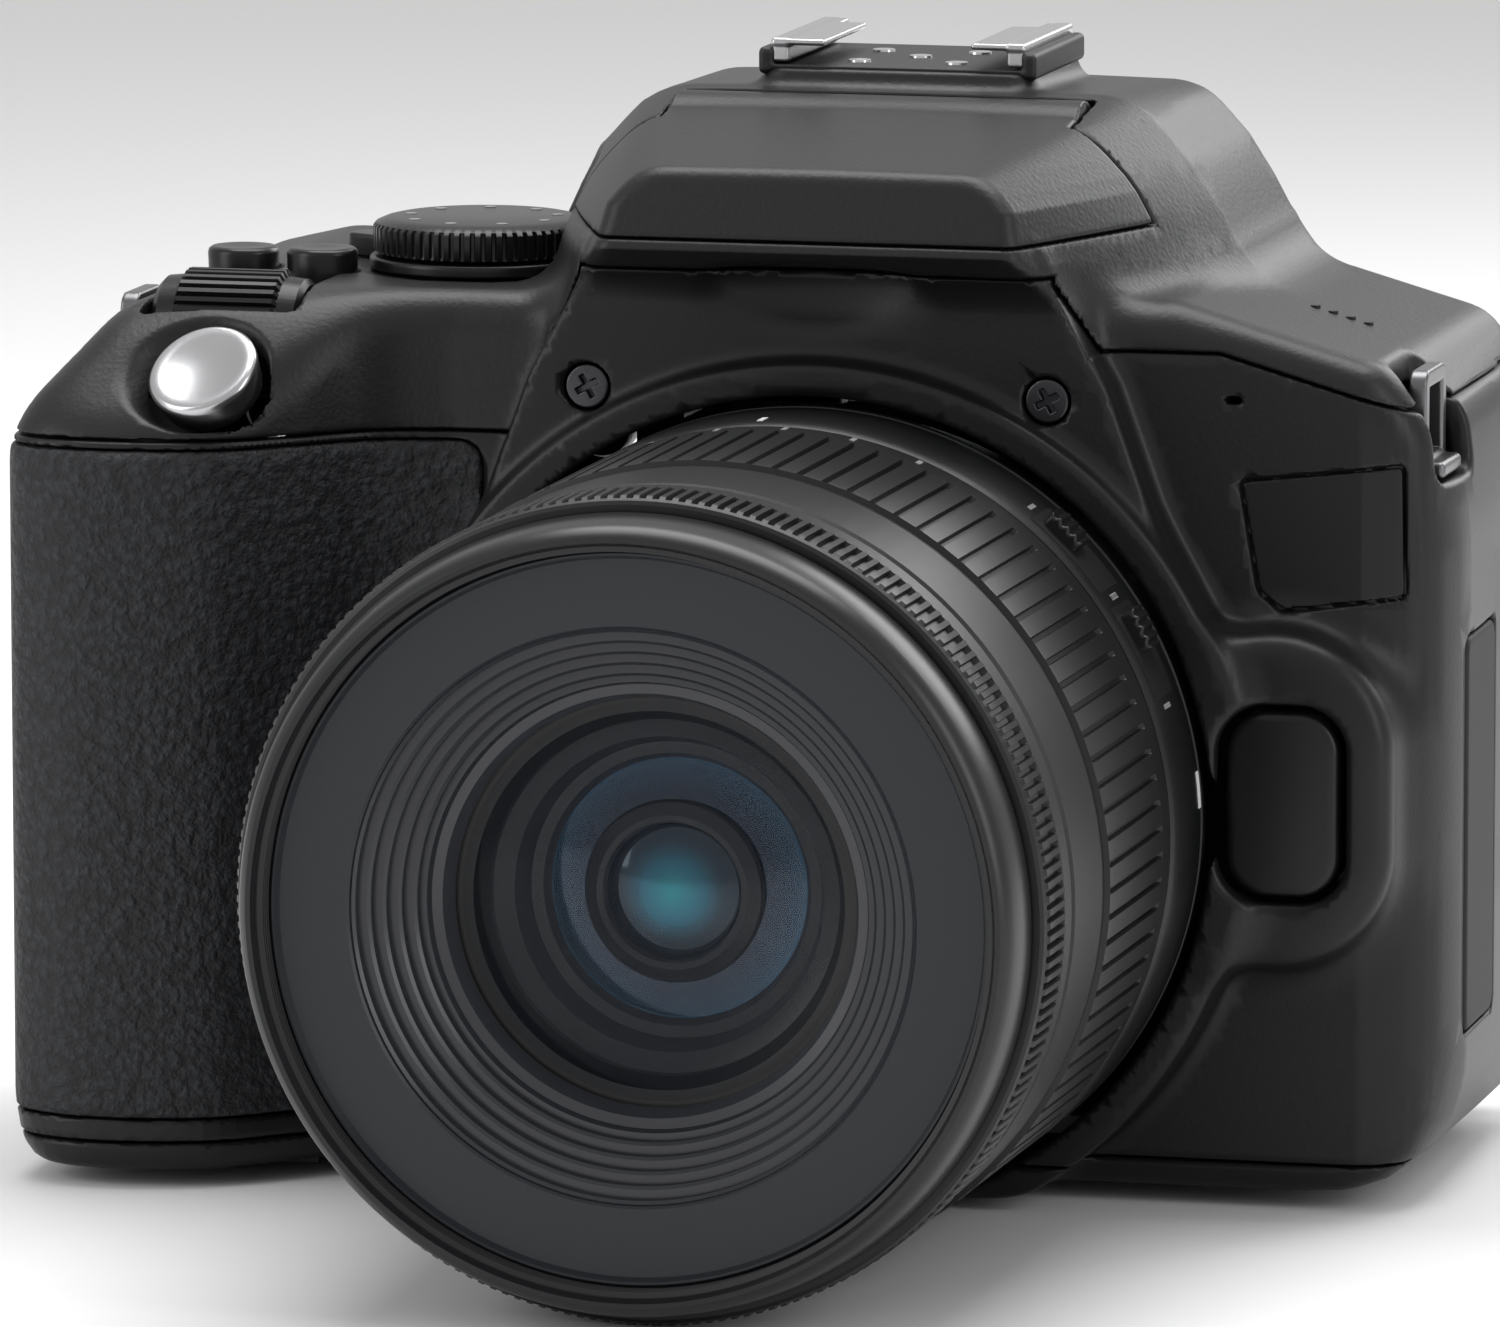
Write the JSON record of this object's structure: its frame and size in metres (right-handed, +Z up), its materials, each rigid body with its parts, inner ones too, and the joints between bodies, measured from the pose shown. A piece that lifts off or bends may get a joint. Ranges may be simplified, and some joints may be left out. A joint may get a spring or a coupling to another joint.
{
  "type": "dslr camera",
  "caption": "Single-lens reflex camera body with deep rubber hand grip, pop-up flash, accessory shoe, swing-out monitor and a standard zoom lens.",
  "frame": {"origin": "centre of the tripod socket mouth on the base, under the lens axis", "axes": "+Z up, lens points along -Y, +X towards the monitor hinge"},
  "size_m": [0.1222, 0.1226, 0.0934],
  "materials": {
    "body_plastic": "fine-grained black polycarbonate",
    "satin_plastic": "satin black plastic",
    "grip_rubber": "leather-grained black rubber",
    "soft_rubber": "smooth black rubber",
    "key_plastic": "smooth black keys",
    "silver_key": "spun silver",
    "black_metal": "black anodised metal",
    "steel": "bright steel",
    "lens_plastic": "black lens barrel plastic",
    "lens_rubber": "ribbed ring rubber",
    "lens_band": "bright satin barrel",
    "coated_glass": "coated optical glass",
    "optical_glass": "clear optical glass",
    "screen_glass": "dark monitor cover",
    "mirror": "front-silvered",
    "board": "circuit board",
    "sensor": "sensor package",
    "battery": "battery case",
    "alloy": "die-cast light alloy"
  },
  "bodies": {
    "camera": {"battery": "battery", "bottom_cover": "body_plastic", "chassis": "black_metal", "eyepiece_lens": "optical_glass", "fairing_screws": "steel", "flash_hinge_pin": "steel", "focusing_screen": "optical_glass", "front_cover": "body_plastic", "grip_rubber": "grip_rubber", "hot_shoe": "steel", "image_sensor": "sensor", "jack_panel": "satin_plastic", "lens_barrel": "lens_plastic", "lens_bayonet": "lens_plastic", "main_board": "board", "memory_card": "battery", "mirror_box": "black_metal", "mount_ring": "steel", "pentaprism": "optical_glass", "rear_cover": "body_plastic", "rear_element": "optical_glass", "shutter_unit": "black_metal", "strap_lugs": "steel", "thumb_rubber": "grip_rubber", "top_cover": "body_plastic", "tripod_socket": "alloy"},
    "flash": {"flash_head": "body_plastic", "flash_window": "optical_glass"},
    "shutter_key": {"shutter_button": "silver_key"},
    "control_dial": {"main_dial": "key_plastic"},
    "mode_wheel": {"mode_dial": "key_plastic"},
    "power_lever": {"power_switch": "key_plastic"},
    "iso_key": {"iso_button": "key_plastic"},
    "disp_key": {"disp_button": "key_plastic"},
    "release_key": {"lens_release_button": "key_plastic"},
    "lock_pin": {"lens_lock_pin": "steel"},
    "monitor": {"lcd_hinge": "satin_plastic", "lcd_housing": "satin_plastic", "lcd_glass": "screen_glass"},
    "set_key": {"set_button": "key_plastic"},
    "pad": {"dpad": "key_plastic"},
    "menu_key": {"menu_button": "key_plastic"},
    "info_key": {"info_button": "key_plastic"},
    "live_view_key": {"live_view_button": "key_plastic"},
    "ae_lock_key": {"ae_lock_button": "key_plastic"},
    "af_point_key": {"af_point_button": "key_plastic"},
    "playback_key": {"playback_button": "key_plastic"},
    "dioptre_wheel": {"diopter_dial": "key_plastic"},
    "mirror": {"reflex_mirror": "mirror"},
    "curtain": {"shutter_curtain": "black_metal"},
    "door": {"battery_door": "body_plastic"},
    "flap": {"terminal_cover": "soft_rubber"},
    "eye_cup": {"eyecup": "soft_rubber"},
    "zoom": {"zoom_ring": "lens_rubber"},
    "lens_front": {"inner_barrel": "lens_band", "front_bezel": "lens_plastic", "front_element": "coated_glass"},
    "focus": {"focus_ring": "lens_rubber"},
    "af_switch": {"af_mode_switch": "lens_plastic"},
    "is_switch": {"stabilizer_switch": "lens_plastic"}
  },
  "joints": [
    {"name": "shutter_press", "type": "slide", "parent": "camera", "child": "shutter_key", "axis": [0.14, 0.6601, -0.7381], "range_m": [0, 0.0012], "stiffness_N_per_m": 300},
    {"name": "main_dial_turn", "type": "hinge", "parent": "camera", "child": "control_dial", "pos_m": [-0.05175, -0.0174, 0.0689], "axis": [1, 0, 0], "continuous": true},
    {"name": "mode_dial_turn", "type": "hinge", "parent": "camera", "child": "mode_wheel", "pos_m": [-0.0342, -0.004, 0.075], "axis": [0, 0, 1], "continuous": true},
    {"name": "power_lever_turn", "type": "hinge", "parent": "camera", "child": "power_lever", "pos_m": [-0.0342, -0.004, 0.074], "axis": [0, 0, 1], "range_deg": [-18, 18]},
    {"name": "iso_press", "type": "slide", "parent": "camera", "child": "iso_key", "axis": [0, 0, -1], "range_m": [0, 0.0006], "stiffness_N_per_m": 300},
    {"name": "disp_press", "type": "slide", "parent": "camera", "child": "disp_key", "axis": [0, 0, -1], "range_m": [0, 0.0006], "stiffness_N_per_m": 300},
    {"name": "release_press", "type": "slide", "parent": "camera", "child": "release_key", "axis": [0, 1, 0], "range_m": [0, 0.0016], "stiffness_N_per_m": 300},
    {"name": "lock_pin_retract", "type": "slide", "parent": "camera", "child": "lock_pin", "axis": [0, 1, 0], "range_m": [0, 0.0016]},
    {"name": "flash_raise", "type": "hinge", "parent": "camera", "child": "flash", "pos_m": [0, -0.003, 0.0844], "axis": [-1, 0, 0], "range_deg": [0, 75]},
    {"name": "monitor_swing", "type": "hinge", "parent": "camera", "child": "monitor", "pos_m": [0.0503, 0.0276, 0.0335], "axis": [0, 0, -1], "range_deg": [0, 175]},
    {"name": "set_press", "type": "slide", "parent": "camera", "child": "set_key", "axis": [0, -1, 0], "range_m": [0, 0.0005], "stiffness_N_per_m": 300},
    {"name": "menu_press", "type": "slide", "parent": "camera", "child": "menu_key", "axis": [0, -1, 0], "range_m": [0, 0.0005], "stiffness_N_per_m": 300},
    {"name": "info_press", "type": "slide", "parent": "camera", "child": "info_key", "axis": [0, -1, 0], "range_m": [0, 0.0005], "stiffness_N_per_m": 300},
    {"name": "live_view_press", "type": "slide", "parent": "camera", "child": "live_view_key", "axis": [0, -1, 0], "range_m": [0, 0.0005], "stiffness_N_per_m": 300},
    {"name": "ae_lock_press", "type": "slide", "parent": "camera", "child": "ae_lock_key", "axis": [0, -1, 0], "range_m": [0, 0.0005], "stiffness_N_per_m": 300},
    {"name": "af_point_press", "type": "slide", "parent": "camera", "child": "af_point_key", "axis": [0, -1, 0], "range_m": [0, 0.0005], "stiffness_N_per_m": 300},
    {"name": "playback_press", "type": "slide", "parent": "camera", "child": "playback_key", "axis": [0, -1, 0], "range_m": [0, 0.0005], "stiffness_N_per_m": 300},
    {"name": "pad_press", "type": "slide", "parent": "camera", "child": "pad", "axis": [0, -1, 0], "range_m": [0, 0.00035], "stiffness_N_per_m": 300},
    {"name": "dioptre_turn", "type": "hinge", "parent": "camera", "child": "dioptre_wheel", "pos_m": [-0.0226, 0.024, 0.078], "axis": [0, 1, 0], "range_deg": [-150, 150]},
    {"name": "mirror_lift", "type": "hinge", "parent": "camera", "child": "mirror", "pos_m": [0, 0.009, 0.0452], "axis": [-1, 0, 0], "range_deg": [0, 45]},
    {"name": "curtain_open", "type": "slide", "parent": "camera", "child": "curtain", "axis": [0, 0, -1], "range_m": [0, 0.0172]},
    {"name": "battery_door_open", "type": "hinge", "parent": "camera", "child": "door", "pos_m": [-0.0437, -0.006, 0.001], "axis": [0, -1, 0], "range_deg": [0, 90]},
    {"name": "terminal_cover_open", "type": "hinge", "parent": "camera", "child": "flap", "pos_m": [0.053, -0.012, 0.0295], "axis": [0, 0, -1], "range_deg": [0, 95]},
    {"name": "eyecup_pull", "type": "slide", "parent": "camera", "child": "eye_cup", "axis": [0, 0, 1], "range_m": [0, 0.014]},
    {"name": "zoom_turn", "type": "hinge", "parent": "camera", "child": "zoom", "pos_m": [0, -0.054, 0.0324], "axis": [0, 1, 0], "range_deg": [0, 70]},
    {"name": "barrel_extend", "type": "slide", "parent": "camera", "child": "lens_front", "axis": [0, -1, 0], "range_m": [0, 0.012]},
    {"name": "focus_turn", "type": "hinge", "parent": "lens_front", "child": "focus", "pos_m": [0, -0.077, 0.0324], "axis": [0, 1, 0], "continuous": true},
    {"name": "af_switch_slide", "type": "slide", "parent": "camera", "child": "af_switch", "axis": [0.6947, 0, -0.7193], "range_m": [0, 0.0032]},
    {"name": "stabilizer_switch_slide", "type": "slide", "parent": "camera", "child": "is_switch", "axis": [0.454, 0, -0.891], "range_m": [0, 0.0032]}
  ],
  "couplings": [
    {"joint": "lock_pin_retract", "follows": "release_press", "ratio": 1},
    {"joint": "barrel_extend", "follows": "zoom_turn", "m_per_rad": 0.00974}
  ]
}
